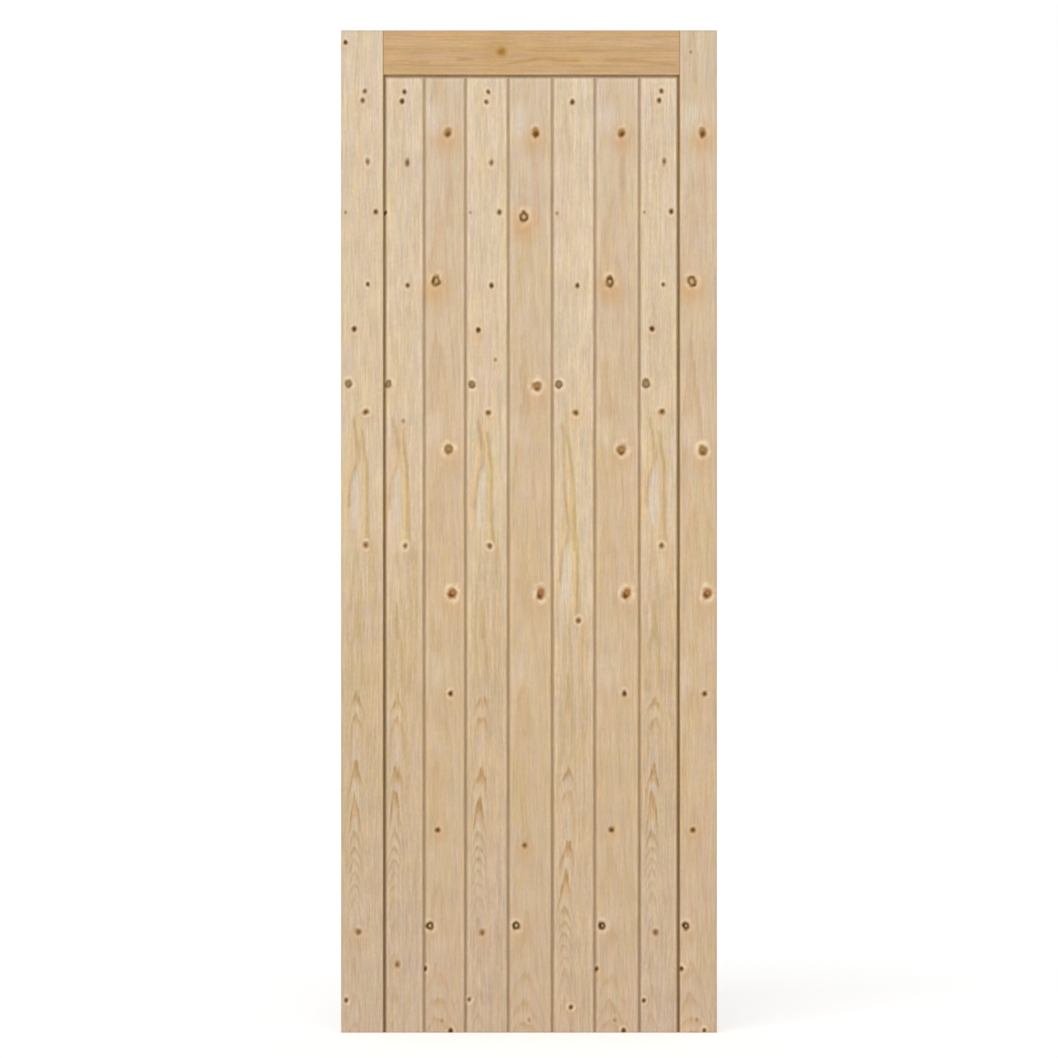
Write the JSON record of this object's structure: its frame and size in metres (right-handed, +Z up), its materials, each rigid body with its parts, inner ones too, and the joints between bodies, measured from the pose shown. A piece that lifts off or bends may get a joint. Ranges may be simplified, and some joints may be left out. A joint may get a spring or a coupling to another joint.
{
  "type": "framed ledged and braced door",
  "caption": "Bare timber door leaf: stiles and a top rail frame V-jointed vertical boards that run down to the foot over ledges and rising braces, with wedged through tenons.",
  "frame": {"origin": "foot of the hinge stile's outer edge, at half the door's thickness", "axes": "+X across the door from the hinge edge to the lock edge, +Y from the boarded front to the braced back, +Z up"},
  "size_m": [0.762, 0.044, 2.032],
  "materials": {
    "stile_timber": "planed softwood, unfinished",
    "rail_timber": "planed softwood, unfinished",
    "ledge_timber": "planed softwood, unfinished",
    "match_boarding": "planed softwood, unfinished",
    "wedge_timber": "planed softwood, unfinished"
  },
  "bodies": {
    "root": {"hinge_stile": "stile_timber", "lock_stile": "stile_timber", "top_rail": "rail_timber", "middle_ledge": "ledge_timber", "bottom_ledge": "ledge_timber", "upper_brace": "ledge_timber", "lower_brace": "ledge_timber", "board_1": "match_boarding", "board_2": "match_boarding", "board_3": "match_boarding", "board_4": "match_boarding", "board_5": "match_boarding", "board_6": "match_boarding", "board_7": "match_boarding", "hinge_top_wedges": "wedge_timber", "hinge_middle_wedges": "wedge_timber", "hinge_bottom_wedges": "wedge_timber", "lock_top_wedges": "wedge_timber", "lock_middle_wedges": "wedge_timber", "lock_bottom_wedges": "wedge_timber"}
  },
  "joints": []
}
